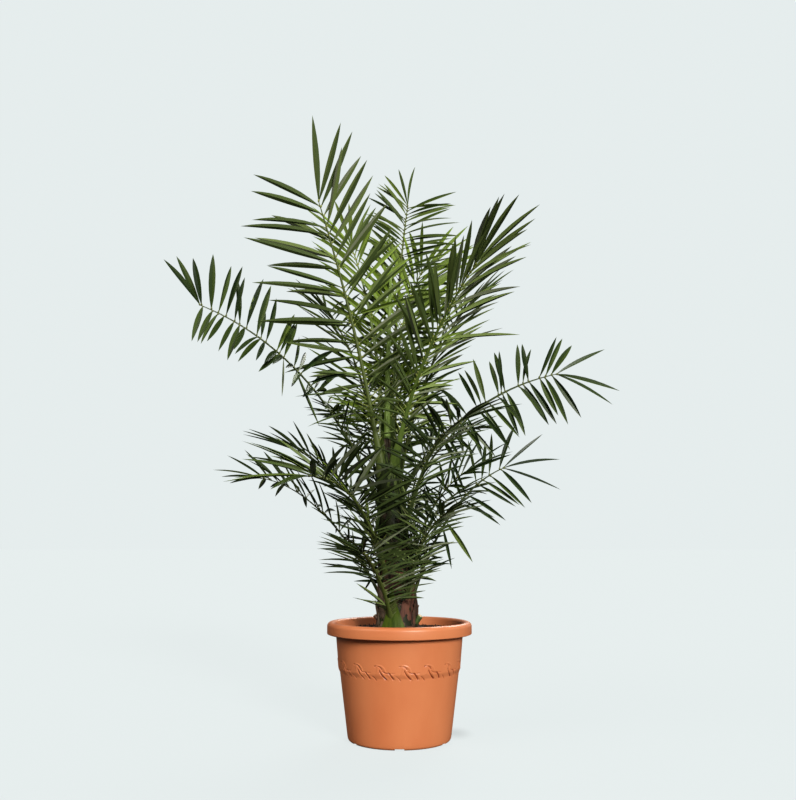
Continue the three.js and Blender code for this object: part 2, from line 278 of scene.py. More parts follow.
def ornament(along, up):
    """How far the ornament stands out, in metres, at places in one motif given in millimetres."""
    relief = np.zeros_like(along)
    share = np.linspace(0, 1, 25)
    for start, bend, end, width_from, width_to, depth in STROKES:
        spread = width_from + (width_to - width_from) * share
        path = [(1 - share) ** 2 * start[k] + 2 * share * (1 - share) * bend[k] + share ** 2 * end[k]
                for k in (0, 1)]
        for shift in (-MOTIF_LONG, 0, MOTIF_LONG):
            off = np.hypot(along[..., None] - path[0] - shift, up[..., None] - path[1]) / spread
            nearest = off.min(axis=-1)
            relief -= depth * np.exp(-(nearest ** 2) * 1.1)
    return RELIEF_SHARE * relief / 1000


places = corners(pot)
turn = np.arctan2(places[:, 1], places[:, 0])
out = np.hypot(places[:, 0], places[:, 1])
in_frieze = (places[:, 2] > FRIEZE_LOW - 0.001) & (places[:, 2] < FRIEZE_HIGH + 0.001)
in_frieze &= np.abs(out - wall_radius(places[:, 2])) < 0.0005
along = ((turn[in_frieze] / math.tau * MOTIFS) % 1) * MOTIF_LONG
up = (places[in_frieze, 2] - MOTIF_BASE) * 1000
stands_out = ornament(along, up)
places[in_frieze, :2] *= (1 + stands_out / out[in_frieze])[:, None]
set_corners(pot, places)
# Painted shade in the grooves of the ornament: the deeper the groove, the darker its colour.
groove_shade = np.zeros(len(places))
groove_shade[in_frieze] = np.clip(-stands_out / GROOVE_SHADE_DEPTH, 0, 1)
pot.data.attributes.new("groove_shade", "FLOAT", "POINT").data.foreach_set("value", groove_shade)


def cut(piece, cutters):
    """Takes each cutter's room out of a piece, as the mould's cores do."""
    for cutter in cutters:
        hollow = piece.modifiers.new("hollow", "BOOLEAN")
        hollow.operation = "DIFFERENCE"
        hollow.solver = "MANIFOLD"
        hollow.object = cutter
        bpy.context.view_layer.objects.active = piece
        bpy.ops.object.modifier_apply(modifier=hollow.name)
        bpy.data.objects.remove(cutter)


cores = []
for i in range(DRAINS):
    hole = math.tau * i / DRAINS - math.pi / 3
    bpy.ops.mesh.primitive_cylinder_add(
        vertices=32, radius=DRAIN_RADIUS, depth=0.03,
        location=(DRAIN_OUT * math.cos(hole), DRAIN_OUT * math.sin(hole), 0))
    bpy.ops.object.transform_apply()
    cores.append(bpy.context.object)
    notch = math.tau * i / DRAINS - math.pi / 2
    bpy.ops.mesh.primitive_cube_add(
        size=1, location=(NOTCH_OUT * math.cos(notch), NOTCH_OUT * math.sin(notch), 0),
        rotation=(0, 0, notch))
    bpy.context.object.scale = NOTCH_SIZE
    bpy.ops.object.transform_apply()
    cores.append(bpy.context.object)
cut(pot, cores)
smooth_shaded(pot, 42)


def grained(paint, upright, scale, detail):
    """Noise on the piece's own coordinates; an upright share under 1 draws it out along Z."""
    tree = paint.node_tree
    place = new_node(tree, "TexCoord")
    drawn = new_node(tree, "Mapping", {
        "Vector": place.outputs["Object"], "Scale": (1, 1, upright)})
    texture = new_node(tree, "TexNoise", {
        "Vector": drawn.outputs["Vector"], "Scale": scale, "Detail": detail})
    return texture.outputs["Fac"]


def finish(name, gloss, bump, colour=None, specular=0.5):
    """A material with an uneven gloss and a fine bump, and its base colour if it has only one.

    Gloss and bump start with the three numbers of their noise. Then gloss has its lowest and
    highest roughness, and bump its height.
    """
    paint = bpy.data.materials.new(name)
    paint.use_nodes = True
    tree = paint.node_tree
    *gloss_noise, smoothest, roughest = gloss
    roughness = new_node(tree, "MapRange", {
        "Value": grained(paint, *gloss_noise), "To Min": smoothest, "To Max": roughest})
    *bump_noise, height = bump
    raised = new_node(tree, "Bump", {"Height": grained(paint, *bump_noise), "Distance": height})
    shader = tree.nodes["Principled BSDF"]
    plug(tree, shader, {
        "Roughness": roughness.outputs["Result"], "Normal": raised.outputs["Normal"],
        "Specular IOR Level": specular})
    if colour:
        plug(tree, shader, {"Base Color": (*colour, 1)})
    return paint


def alike(gloss, bump, colours, specular=0.5):
    """Materials that differ in their one colour only."""
    return [finish(name, gloss, bump, colour, specular) for name, colour in colours.items()]


def tinted(paint, value, stops):
    """Colours a material by a value, through a ramp of (place, colour) stops."""
    tree = paint.node_tree
    ramp = new_node(tree, "ValToRGB", {"Fac": value})
    points = ramp.color_ramp.elements
    for spot, (place, colour) in enumerate(stops):
        point = points[spot] if spot < 2 else points.new(place)
        point.position = place
        point.color = (*colour, 1)
    plug(tree, tree.nodes["Principled BSDF"], {"Base Color": ramp.outputs["Color"]})


# The plastic is a little cloudy, and painted shade darkens the grooves of the ornament.
terracotta = finish("terracotta_plastic", (1, 60, 5, 0.30, 0.44), (1, 900, 3, 0.00012), specular=0.42)
groove_shade_node = new_node(terracotta.node_tree, "Attribute", attribute_name="groove_shade")
cloud_and_groove_shade = new_node(terracotta.node_tree, "Math", {
    0: groove_shade_node.outputs["Fac"], 1: GROOVE_SHADE_STRENGTH, 2: grained(terracotta, 0.5, 14, 4)},
    operation="MULTIPLY_ADD")
# The ramp's darkest stop is the colour of the painted shade in the grooves.
tinted(terracotta, cloud_and_groove_shade.outputs[0],
       [(0.0, (0.26, 0.060, 0.024)), (0.24, (0.60, 0.202, 0.085)), (0.5, (0.63, 0.224, 0.097)),
        (0.8, (0.66, 0.246, 0.109))])
pot.data.materials.clear()
pot.data.materials.append(terracotta)
pot.data.polygons.foreach_set("material_index", [0] * len(pot.data.polygons))
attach(pot, "root")
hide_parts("pot")

# ---- The potting mix ----
# Dark, moist bark and peat, filled to just under the rim and a little higher round the palm.
# The crumbs and bark chips that lie on it are one piece of many small lumps.

SOIL_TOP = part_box("soil")[1].z
SOIL_EDGE = SOIL_TOP - 0.004
SOIL_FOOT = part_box("soil")[0].z
SOIL_WIDE = 0.1535
SOIL_HEAP = 0.001
CRUMBS = 900
CRUMB_BELT = (0.050, 0.148)
CRUMB_SIZE = (0.0012, 0.0034)
CHIP_SHAPE = (2.2, 1.1, 0.5)


def soil_height(x, y):
    """The top of the mix: a low mound round the palm, with lumps."""
    away = math.hypot(x, y)
    fall = (SOIL_TOP - SOIL_EDGE) * float(smoothstep(0.05, SOIL_WIDE, away))
    lumps = noise.noise(Vector((x, y, 0)) * 55) * 0.0022
    lumps += noise.noise(Vector((x, y, 3)) * 190) * 0.0013
    return SOIL_TOP + SOIL_HEAP - fall + lumps


side = [(0.115, SOIL_FOOT), (0.136, 0.130), (0.1405, 0.157), (0.146, 0.172),
        (SOIL_WIDE, SOIL_EDGE - 0.004)]
top = [(float(r), SOIL_EDGE) for r in np.linspace(SOIL_WIDE - 0.0012, 0.004, 64)]
soil = turned("soil_fill", side + top, 200)
places = corners(soil)
for spot in places:
    if spot[2] > SOIL_EDGE - 0.001:
        spot[2] = soil_height(spot[0], spot[1])
set_corners(soil, places)
smooth_shaded(soil, 60)
mix = finish("potting_mix", (1, 120, 3, 0.75, 1.0), (1, 420, 6, 0.0015))
tinted(mix, grained(mix, 1, 260, 6),
       [(0.3, (0.008, 0.005, 0.003)), (0.52, (0.030, 0.019, 0.012)), (0.75, (0.075, 0.050, 0.032))])
soil.data.materials.append(mix)
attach(soil, "root")
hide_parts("soil")


class Heap:
    """Points and faces of small shapes, gathered for one joined piece."""

    def __init__(self):
        self.points = []
        self.faces = []
        self.tones = []

    def add(self, points, faces, tone):
        """Adds one shape: its points, its faces, and its material, or a list with each face's."""
        start = len(self.points)
        self.points.extend(points)
        self.faces.extend([[start + k for k in face] for face in faces])
        self.tones.extend(tone if isinstance(tone, list) else [tone] * len(faces))


def joined(name, heap, materials, replaced, smooth=0):
    """One piece from a heap, shaded smooth over its edges up to an angle in degrees."""
    mesh = bpy.data.meshes.new(name)
    mesh.from_pydata([tuple(p) for p in heap.points], [], heap.faces)
    for material in materials:
        mesh.materials.append(material)
    mesh.polygons.foreach_set("material_index", heap.tones)
    mesh.update()
    piece = bpy.data.objects.new(name, mesh)
    scene.collection.objects.link(piece)
    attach(piece, "root")
    if replaced:
        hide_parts(*replaced)
    if smooth:
        smooth_shaded(piece, smooth)


LUMP = [(1, 0, 0), (-1, 0, 0), (0, 1, 0), (0, -1, 0), (0, 0, 1), (0, 0, -1)]
LUMP_FACES = [(0, 2, 4), (2, 1, 4), (1, 3, 4), (3, 0, 4), (2, 0, 5), (1, 2, 5), (3, 1, 5), (0, 3, 5)]
crumbs = Heap()
for _ in range(CRUMBS):
    away = math.sqrt(dice.uniform(CRUMB_BELT[0] ** 2, CRUMB_BELT[1] ** 2))
    way = dice.uniform(0, math.tau)
    x, y = away * math.cos(way), away * math.sin(way)
    size = dice.uniform(*CRUMB_SIZE)
    shape = Vector((1, 1, 1)) if dice.random() < 0.7 else Vector(CHIP_SHAPE)
    tip = Quaternion(dice.normal(size=4)).normalized()
    middle = Vector((x, y, soil_height(x, y) + size * 0.25))
    points = []
    for corner in LUMP:
        grown = Vector([c * s * size * dice.uniform(0.75, 1.2) for c, s in zip(corner, shape)])
        points.append(middle + tip @ grown)
    crumbs.add(points, LUMP_FACES, int(dice.integers(0, 3)))
crumb_materials = alike((1, 200, 3, 0.7, 1.0), (1, 600, 4, 0.0006), {
    "peat": (0.014, 0.009, 0.006), "bark_chip": (0.055, 0.032, 0.018), "husk": (0.030, 0.019, 0.012)})
joined("soil_crumbs", crumbs, crumb_materials, ())

# ---- The trunk ----
# A stout trunk that tapers and leans a little to the left, mostly hidden under the feet of the
# fronds. Old leaf bases wrap it in a spiral, broad below and torn off above.

TRUNK_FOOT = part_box("trunk")[0].z
TRUNK_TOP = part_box("trunk")[1].z
TRUNK_START = -0.005
TRUNK_LEAN = 0.027
TRUNK_TURN = 137.5
BASES = 34
BASE_TALL = 0.075
BARK_DEEP = 0.0045


def trunk_rise(height):
    return (height - SOIL_TOP) / (TRUNK_TOP - SOIL_TOP)


def trunk_axis(height):
    rise = min(max(trunk_rise(height), 0), 1.1)
    return Vector((TRUNK_START - TRUNK_LEAN * rise ** 1.3, 0, height))


def trunk_radius(height):
    rise = min(max(trunk_rise(height), 0), 1)
    return (0.044 - 0.016 * rise + 0.008 * math.exp(-rise * 12)) * math.sqrt(1 - 0.75 * rise ** 6)


def base_relief(way, height):
    """How far the old leaf bases stand out from the trunk, in metres."""
    most = 0.0
    for k in range(BASES):
        lies = TRUNK_FOOT - 0.03 + k * (TRUNK_TOP - TRUNK_FOOT) / BASES
        up = (height - lies) / BASE_TALL
        if not 0 < up < 1.15:
            continue
        across = (way - math.radians(k * TRUNK_TURN) + math.pi) % math.tau - math.pi
        half = 0.85 - 0.5 * up + 0.05 * noise.noise(Vector((k, across * 9, 0)))
        edge = float(smoothstep(0, 0.12, half - abs(across)))
        torn = 1 - float(smoothstep(0.88, 0.97, up + 0.1 * noise.noise(Vector((across * 14, k, 5)))))
        most = max(most, edge * torn * (0.0015 + 0.0075 * up))
    return most


bark_rows = [(trunk_radius(z), z) for z in np.linspace(TRUNK_FOOT - 0.004, TRUNK_TOP - 0.001, 170)]
trunk = turned("trunk_bark", bark_rows, 120)
places = corners(trunk)
for spot in places:
    way = math.atan2(spot[1], spot[0])
    grain = noise.noise(Vector((math.cos(way) * 9, math.sin(way) * 9, spot[2] * 22))) * 0.0012
    grain += noise.noise(Vector((math.cos(way) * 26, math.sin(way) * 26, spot[2] * 60))) * 0.0006
    grown = trunk_radius(spot[2]) - BARK_DEEP + base_relief(way, spot[2]) + grain
    middle = trunk_axis(spot[2])
    spot[0] = middle.x + math.cos(way) * grown
    spot[1] = middle.y + math.sin(way) * grown
set_corners(trunk, places)
smooth_shaded(trunk, 50)
bark = finish("leaf_base_bark", (0.3, 60, 4, 0.65, 0.95), (0.12, 260, 6, 0.0022))
tinted(bark, grained(bark, 0.22, 85, 8),
       [(0.28, (0.008, 0.006, 0.003)), (0.45, (0.030, 0.020, 0.010)), (0.60, (0.055, 0.040, 0.019)),
        (0.80, (0.13, 0.10, 0.055))])
trunk.data.materials.append(bark)
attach(trunk, "root")
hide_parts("trunk")

# ---- The torn sheaths ----
# What is left of the lowest leaves: dry brown shields, 2 mm thick, that still hug the foot of the
# trunk, with their ragged tops standing away from it.


def on_trunk(way, height, clear):
    """A place that lies clear of the trunk's side."""
    middle = trunk_axis(height)
    grown = trunk_radius(height) + clear
    return Vector((middle.x + grown * math.cos(way), middle.y + grown * math.sin(way), height))


SHIELD_ROWS = 12
SHIELD_COLUMNS = 10
SHIELD_THICK = 0.0022
# Each torn sheath: the way it faces in degrees, its foot and its height in metres, half its width at
# the foot in degrees, how far its top stands off the trunk, and its colour.
SHIELDS = [
    (184, 0.262, 0.062, 36, 0.006, 1), (336, 0.262, 0.070, 30, 0.009, 2),
    (304, 0.264, 0.078, 40, 0.003, 0), (222, 0.262, 0.085, 30, 0.003, 1),
    (20, 0.266, 0.085, 38, 0.007, 2), (64, 0.262, 0.060, 34, 0.009, 0),
    (110, 0.264, 0.080, 36, 0.006, 1), (150, 0.262, 0.070, 34, 0.008, 2),
    (350, 0.310, 0.085, 32, 0.006, 0), (200, 0.320, 0.090, 32, 0.005, 1),
    (290, 0.322, 0.090, 34, 0.003, 0), (84, 0.330, 0.090, 36, 0.006, 2),
    (130, 0.350, 0.080, 34, 0.006, 0), (40, 0.352, 0.090, 34, 0.005, 1),
    (250, 0.330, 0.085, 34, 0.003, 2),
]


def shield(way, foot, tall, half, away, tone, narrowing=0.45, ragged=0.22, off=0.0015):
    """One sheath: a curved shell from its foot to its ragged top."""
    layers = []
    for thick in (SHIELD_THICK, 0.0):
        sheet = []
        for row in range(SHIELD_ROWS + 1):
            up = row / SHIELD_ROWS
            for column in range(SHIELD_COLUMNS + 1):
                across = 2 * column / SHIELD_COLUMNS - 1
                torn = ragged * noise.noise(Vector((across * 4.5, way, foot * 90)))
                height = foot + tall * up * (1 - 0.35 * across ** 2 + torn)
                wide = math.radians(half) * (1 - narrowing * up) * across
                wave = 0.0018 * noise.noise(Vector((across * 3, up * 4, way)))
                clear = off + away * up ** 2 * (1 - 0.5 * across ** 2) + wave + thick
                sheet.append(on_trunk(math.radians(way) + wide, height, clear))
        layers.append(sheet)
    points = layers[0] + layers[1]
    across, every = SHIELD_COLUMNS + 1, len(layers[0])
    faces = []
    for row in range(SHIELD_ROWS):
        for column in range(SHIELD_COLUMNS):
            a = row * across + column
            faces.append([a, a + 1, a + across + 1, a + across])
            faces.append([every + k for k in (a, a + across, a + across + 1, a + 1)])
    border = list(range(across))
    border += [r * across + across - 1 for r in range(1, SHIELD_ROWS + 1)]
    border += [SHIELD_ROWS * across + c for c in range(across - 2, -1, -1)]
    border += [r * across for r in range(SHIELD_ROWS - 1, 0, -1)]
    for a, b in zip(border, border[1:] + border[:1]):
        faces.append([b, a, every + a, every + b])
    return points, faces, tone


sheaths = Heap()
for values in SHIELDS:
    sheaths.add(*shield(*values))


def two_toned(name, dark, light, grain, gloss, bump, edge=0.3, specular=0.5):
    """A material that goes from dark to light along a grain, past an edge of each colour alone."""
    paint = finish(name, gloss, bump, specular=specular)
    tinted(paint, grained(paint, *grain), [(edge, dark), (1 - edge, light)])
    return paint


sheath_materials = [
    two_toned(name, dark, light, (0.2, 120, 7), (0.3, 70, 3, 0.55, 0.9), (0.1, 380, 5, 0.0012), 0.32)
    for name, dark, light in (("red_brown_sheath", (0.045, 0.013, 0.007), (0.150, 0.060, 0.034)),
                              ("grey_brown_sheath", (0.070, 0.045, 0.028), (0.230, 0.180, 0.125)),
                              ("dark_brown_sheath", (0.022, 0.010, 0.006), (0.110, 0.055, 0.032)))]
joined("torn_sheaths", sheaths, sheath_materials, (), smooth=55)

# ---- The loose fibre ----
# Coarse strands, as thick as thread, that fray from the edges of the sheaths. They lie along the
# trunk, and some stand away from it.

FIBRES = 420
FIBRE_THIN = (0.0003, 0.0007)


def across_path(path, index):
    """Two directions across a path of points, at one of them."""
    along = (path[min(index + 1, len(path) - 1)] - path[max(index - 1, 0)]).normalized()
    across = along.orthogonal().normalized()
    return across, along.cross(across)


def tube_faces(rings, sides):
    """The faces of a closed tube: the bands between its rings, one after another, and both ends."""
    faces = []
    for ring in range(rings - 1):
        for k in range(sides):
            a, b = ring * sides + k, ring * sides + (k + 1) % sides
            faces.append([a, b, b + sides, a + sides])
    faces.append(list(range(sides))[::-1])
    faces.append([(rings - 1) * sides + k for k in range(sides)])
    return faces


def strand(path, radii, sides):
    """A thin closed rod along a path of points, with a radius at each."""
    points = []
    for index, (middle, radius) in enumerate(zip(path, radii)):
        across, over = across_path(path, index)
        for k in range(sides):
            turn = math.tau * k / sides
            points.append(middle + radius * (across * math.cos(turn) + over * math.sin(turn)))
    return points, tube_faces(len(path), sides)


fibre = Heap()
for _ in range(FIBRES):
    way = dice.uniform(0, math.tau)
    foot = dice.uniform(TRUNK_FOOT, 0.46)
    tall = dice.uniform(0.02, 0.07)
    slant = dice.normal(0, 0.35)
    loose = dice.uniform(0.0, 0.010) if dice.random() < 0.3 else 0.001
    path = [on_trunk(way + slant * t, foot + tall * t, 0.003 + loose * t * t)
            for t in (0, 0.25, 0.5, 0.75, 1)]
    thin = dice.uniform(*FIBRE_THIN)
    points, faces = strand(path, [thin] * 4 + [thin * 0.3], 3)
    fibre.add(points, faces, int(dice.integers(0, 2)))
fibre_materials = alike((1, 90, 2, 0.6, 0.95), (1, 900, 2, 0.0002), {
    "red_fibre": (0.15, 0.055, 0.025), "straw_fibre": (0.27, 0.18, 0.10)})
joined("trunk_fibre", fibre, fibre_materials, ())

# ---- The cut leaf feet ----
# Where old fronds were cut off close to the trunk: short oval stumps, green or brown outside,
# with a pale, fibrous cut face that has dried a little hollow.

# Each cut foot: the node it stands for, the way it faces, its foot, length and half width, its skin.
CUT_FEET = [
    ("stub_right_low", 340, 0.268, 0.034, 0.011, 0), ("stub_right_high", 8, 0.300, 0.026, 0.009, 1),
    ("stub_left", 190, 0.272, 0.030, 0.007, 1), ("stub_back", 80, 0.285, 0.032, 0.010, 0),
]
FOOT_SIDES = 20
# The rings of a foot: how far along it and how wide each is. The last ones are the cut face.
FOOT_RINGS = [(0.0, 1.0), (0.3, 1.0), (0.6, 1.0), (0.85, 1.0), (0.97, 1.0), (1.0, 0.93),
              (0.985, 0.80), (0.94, 0.45), (0.93, 0.1)]
SKIN_BANDS = 5
CUT_BANDS = len(FOOT_RINGS) - 1 - SKIN_BANDS
CUT_FACE = 2
feet = Heap()
for _, way, low, length, half, skin in CUT_FEET:
    turn = math.radians(way)
    out = Vector((math.cos(turn), math.sin(turn), 0))
    along = out * 0.6 + Vector((0, 0, 0.8))
    side = Vector((out.y, -out.x, 0))
    over = side.cross(along)
    start = trunk_axis(low) + out * trunk_radius(low) * 0.8
    points = []
    for v, part in FOOT_RINGS:
        for k in range(FOOT_SIDES):
            turn = math.tau * k / FOOT_SIDES
            spot = Vector((math.cos(turn) * 2, math.sin(turn) * 2, v * 4 + way))
            rough = 1 + 0.05 * noise.noise(spot)
            wide = half * (1.15 - 0.3 * v) * part * rough
            deep = half * 0.62 * part * rough
            points.append(start + along * length * v + side * wide * math.cos(turn)
                          + over * deep * math.sin(turn))
    bands = [skin] * SKIN_BANDS * FOOT_SIDES + [CUT_FACE] * CUT_BANDS * FOOT_SIDES
    feet.add(points, tube_faces(len(FOOT_RINGS), FOOT_SIDES), bands + [skin, CUT_FACE])
foot_materials = [
    two_toned(name, dark, light, (0.4, 160, 5), (1, 80, 3, 0.45, 0.8), (0.3, 500, 4, 0.0006))
    for name, dark, light in (("green_skin", (0.040, 0.075, 0.018), (0.120, 0.170, 0.045)),
                              ("dried_skin", (0.050, 0.022, 0.014), (0.190, 0.115, 0.070)),
                              ("cut_face", (0.42, 0.33, 0.19), (0.72, 0.64, 0.46)))]
joined("cut_leaf_feet", feet, foot_materials, [values[0] for values in CUT_FEET], smooth=50)

# ---- The midribs ----
# Each frond has one midrib from the trunk to its tip: broad and flat where it clasps the trunk,
# oval along the stalk, and thin as a straw at the end. They are smooth, waxy and yellow-green.

# What a frond has unless it says otherwise, with angles in degrees:
#   bare: the share of its length below the leaflets
#   twist: how far it is turned about itself, at the first leaflets and at the tip
#   spread, lift: the leaflets' angles to the midrib, at the stalk and the tip, and over it
#   starts: how far out each of the two rows of leaflets begins
#   ends, end: the angles of the last leaflets, and their share of the full length
#   bunch: how much the leaflets gather in threes
#   slim: how many small first leaflets it has
# A frond with rows of its own gives both angles, a share of the length and the lift for each.
USUAL = dict(bare=0.30, twist=(0, 0), spread=(80, 38), lift=15, slim=16, starts=(0, 0), bunch=1,
             ends=(16, 3, -19), end=1.02)


def frond(way, foot, bend, tip, leaf, wide, pairs, green, **unusual):
    return dict(USUAL, way=way, foot=foot, bend=bend, tip=tip, leaf=leaf, wide=wide, pairs=pairs,
                green=green, **unusual)


# Each frond by name: the way it points in degrees from +X; the height of its foot, and how far out
# and how high its bend and its tip lie; the length and width of its longest leaflets; the leaflets
# on each side; how light its green is, from 0 to 5; and what is not as usual.
FRONDS = {
    "crown_left": frond(219, 0.640, (0.090, 0.980), (0.232, 1.329), 0.240, 0.0200, 20, 3.0,
        twist=(-35, -35), rows=((62, 38, 1.0, 8), (76, 50, 1.15, 8)), ends=(-15, -34), end=0.93),
    "crown_right": frond(303, 0.660, (0.110, 0.930), (0.370, 1.106), 0.215, 0.0165, 24, 3.7,
        twist=(20, 20), rows=((60, 14, 1.0, 15), (42, 12, 1.0, 8)), ends=(6, -8, 14)),
    "crown_back": frond(75, 0.680, (0.050, 1.120), (0.205, 1.460), 0.180, 0.0130, 38, 2.4,
        rows=((52, 42, 1.0, 10), (86, 76, 1.0, 6)), ends=(-29, -15, -2), bunch=0.1, end=1.18),
    "mid_left": frond(188, 0.560, (0.185, 0.960), (0.500, 1.079), 0.170, 0.0195, 22, 1.2, twist=(0, 75),
        bare=0.36, rows=((95, 92, 0.68, 5), (80, 62, 1.0, 20)), ends=(46, 36)),
    "mid_right": frond(0, 0.600, (0.190, 0.860), (0.435, 0.911), 0.160, 0.018, 18, 1.2, twist=(-45, -60),
        rows=((88, 52, 0.95, 15), (100, 72, 0.85, -22)), ends=(29, 46, -22)),
    "low_right": frond(0, 0.330, (0.125, 0.600), (0.275, 0.664), 0.150, 0.0130, 13, 0.8,
        twist=(-15, -65), bare=0.25, rows=((85, 45, 1.0, 15), (98, 66, 0.90, -20)), starts=(0.12, 0.42),
        ends=(7, -20, 46)),
    "low_left": frond(152, 0.330, (0.220, 0.620), (0.430, 0.654), 0.150, 0.0135, 17, 0.4,
        twist=(-25, -25), spread=(75, 35), bare=0.25),
    "front_left": frond(234, 0.380, (0.130, 0.630), (0.330, 0.621), 0.210, 0.0160, 20, 2.4, twist=(8, 8),
        spread=(80, 42), lift=25, bare=0.25),
    "front_low": frond(252, 0.280, (0.120, 0.400), (0.250, 0.450), 0.145, 0.0105, 24, 2.0, bare=0.20,
        rows=((84, 70, 1.15, 22), (80, 30, 1.0, 8)), starts=(0, 0.38), slim=4),
    "crown_inner": frond(50, 0.720, (0.010, 1.020), (0.145, 1.225), 0.250, 0.015, 22, 4.4,
        twist=(-30, -30), spread=(60, 25), lift=10),
    "crown_inner_left": frond(135, 0.700, (0.030, 1.050), (0.150, 1.300), 0.200, 0.015, 22, 3.9,
        twist=(30, 30), spread=(60, 30), lift=10),
    "crown_rear_right": frond(35, 0.620, (0.090, 0.950), (0.270, 1.140), 0.190, 0.0150, 18, 2.2,
        spread=(70, 35)),
    "crown_rear_left": frond(125, 0.600, (0.120, 0.980), (0.340, 1.160), 0.190, 0.0150, 18, 2.2,
        spread=(70, 35)),
    "mid_rear": frond(88, 0.520, (0.150, 0.900), (0.420, 0.970), 0.180, 0.0150, 18, 1.6),
    "mid_rear_left": frond(115, 0.480, (0.140, 0.800), (0.360, 0.850), 0.170, 0.0140, 18, 1.4),
    "mid_rear_right": frond(50, 0.500, (0.150, 0.760), (0.340, 0.800), 0.135, 0.0130, 16, 1.2,
        bare=0.25),
    "mid_front_right": frond(308, 0.460, (0.110, 0.720), (0.260, 0.760), 0.160, 0.0120, 18, 1.4,
        bare=0.25),
    "mid_side_left": frond(195, 0.420, (0.100, 0.640), (0.250, 0.700), 0.150, 0.0120, 18, 1.2,
        bare=0.25),
    "low_side_right": frond(335, 0.400, (0.090, 0.590), (0.190, 0.645), 0.140, 0.0110, 14, 1.2,
        twist=(-10, -40), spread=(80, 40), bare=0.25),
    "low_rear_right": frond(55, 0.340, (0.150, 0.600), (0.340, 0.620), 0.130, 0.0120, 16, 0.8,
        bare=0.25),
    "low_rear": frond(105, 0.310, (0.160, 0.560), (0.380, 0.580), 0.150, 0.0120, 18, 0.8, bare=0.25),
    "low_front_right": frond(305, 0.320, (0.090, 0.500), (0.200, 0.540), 0.130, 0.0100, 19, 1.0,
        bare=0.20, slim=6),
}
CLASP = 0.85
RIB_ROWS = 30
RIB_SIDES = 10
CURVE_STEPS = 200


class Midrib:
    """A frond's midrib: its curve, with its place and directions at any share u of its length."""

    def __init__(self, way, foot, bend, tip, twist, bare, **_):
        turn = math.radians(way)
        self.out = Vector((math.cos(turn), math.sin(turn), 0))
        self.side = Vector((self.out.y, -self.out.x, 0))
        self.twist, self.bare = twist, bare
        middle = trunk_axis(foot)
        middle.z = 0
        start = middle + self.out * trunk_radius(foot) * CLASP
        start.z = foot
        self.knots = [start]
        for away, tall in (bend, tip):
            self.knots.append(middle + self.out * away + Vector((0, 0, tall)))
        steps = [self.at(i / CURVE_STEPS) for i in range(CURVE_STEPS + 1)]
        gaps = [(b - a).length for a, b in zip(steps, steps[1:])]
        self.run = np.concatenate([[0], np.cumsum(gaps)])
        self.length = self.run[-1]

    def at(self, t):
        """A place on the curve from foot to tip, which is drawn towards the bend."""
        a, b, c = self.knots
        return a * (1 - t) ** 2 + b * 2 * t * (1 - t) + c * t ** 2

    def frame(self, u):
        """The place, the direction along the midrib, and those to its side and over it."""
        shares = np.linspace(0, 1, CURVE_STEPS + 1)
        t = float(np.interp(min(u, 1) * self.length, self.run, shares))
        a, b, c = self.knots
        along = ((b - a) * (1 - t) + (c - b) * t).normalized()
        share = min(max((u - self.bare) / (1 - self.bare), 0), 1)
        roll = math.radians(self.twist[0] + (self.twist[1] - self.twist[0]) * share)
        side = Quaternion(along, -roll) @ self.side
        return self.at(t), along, side, side.cross(along)


midribs = {name: Midrib(**values) for name, values in FRONDS.items()}


def rib_size(u, bare):
    """Half the width and half the depth of a midrib: a broad foot, an even stalk, a thin end."""
    if u < bare:
        near = (1 - u / bare) ** 2.5
        return 0.0050 + 0.0140 * near, 0.0042 + 0.0038 * near
    left = 1 - (u - bare) / (1 - bare)
    return 0.0011 + 0.0039 * left ** 0.8, 0.0010 + 0.0032 * left ** 0.8


def rib_shape(rib):
    """One midrib: a keeled rod with a flat upper face, curled round the trunk at its foot."""
    points = []
    for row in range(RIB_ROWS + 1):
        u = (row / RIB_ROWS) ** 1.25
        place, _, side, over = rib.frame(u)
        wide, deep = rib_size(u, rib.bare)
        curl = 0.55 * max(0, 1 - u / (rib.bare * 0.6)) ** 1.5
        for k in range(RIB_SIDES):
            turn = math.tau * (k + 0.5) / RIB_SIDES
            across, rise = math.cos(turn), math.sin(turn)
            lift = deep * rise * (0.45 if rise > 0 else 1) + curl * wide * across ** 2
            points.append(place + side * wide * across + over * lift)
    return points, tube_faces(RIB_ROWS + 1, RIB_SIDES)


def stalk_tone(name):
    """Which of three materials a frond's stalk has, from the oldest to the youngest."""
    green = FRONDS[name]["green"]
    return 2 if green > 3.5 else 1 if green > 1.7 else 0


ribs = Heap()
for name, rib in midribs.items():
    ribs.add(*rib_shape(rib), stalk_tone(name))
rib_materials = alike((1, 45, 3, 0.32, 0.55), (0.3, 420, 3, 0.0002), {
    "old_midrib": (0.048, 0.068, 0.018), "midrib_green": (0.095, 0.125, 0.030),
    "young_midrib": (0.120, 0.175, 0.036)})
joined("midribs", ribs, rib_materials, [f"frond_{name}_stalk" for name in FRONDS],
       smooth=60)

# ---- The leaf bases ----
# The foot of each leaf, below its stalk: a green shield, broad and thin where it wraps the trunk,
# that narrows to the stalk. Another reaches round the far side, so the trunk hardly shows.

wraps = Heap()
for name, values in FRONDS.items():
    tone = stalk_tone(name)
    low = max(values["foot"] - 0.075, TRUNK_FOOT)
    reach = 0.035 + 0.05 * float(smoothstep(0.5, 0.7, values["foot"]))
    tall = values["foot"] + reach - low
    wraps.add(*shield(values["way"], low, tall, 62, 0.001, tone, narrowing=0.72, ragged=0.0))
    wraps.add(*shield(values["way"] + 175, low + 0.01, 0.105, 50, 0.0, tone, narrowing=0.55,
                      ragged=0.12))
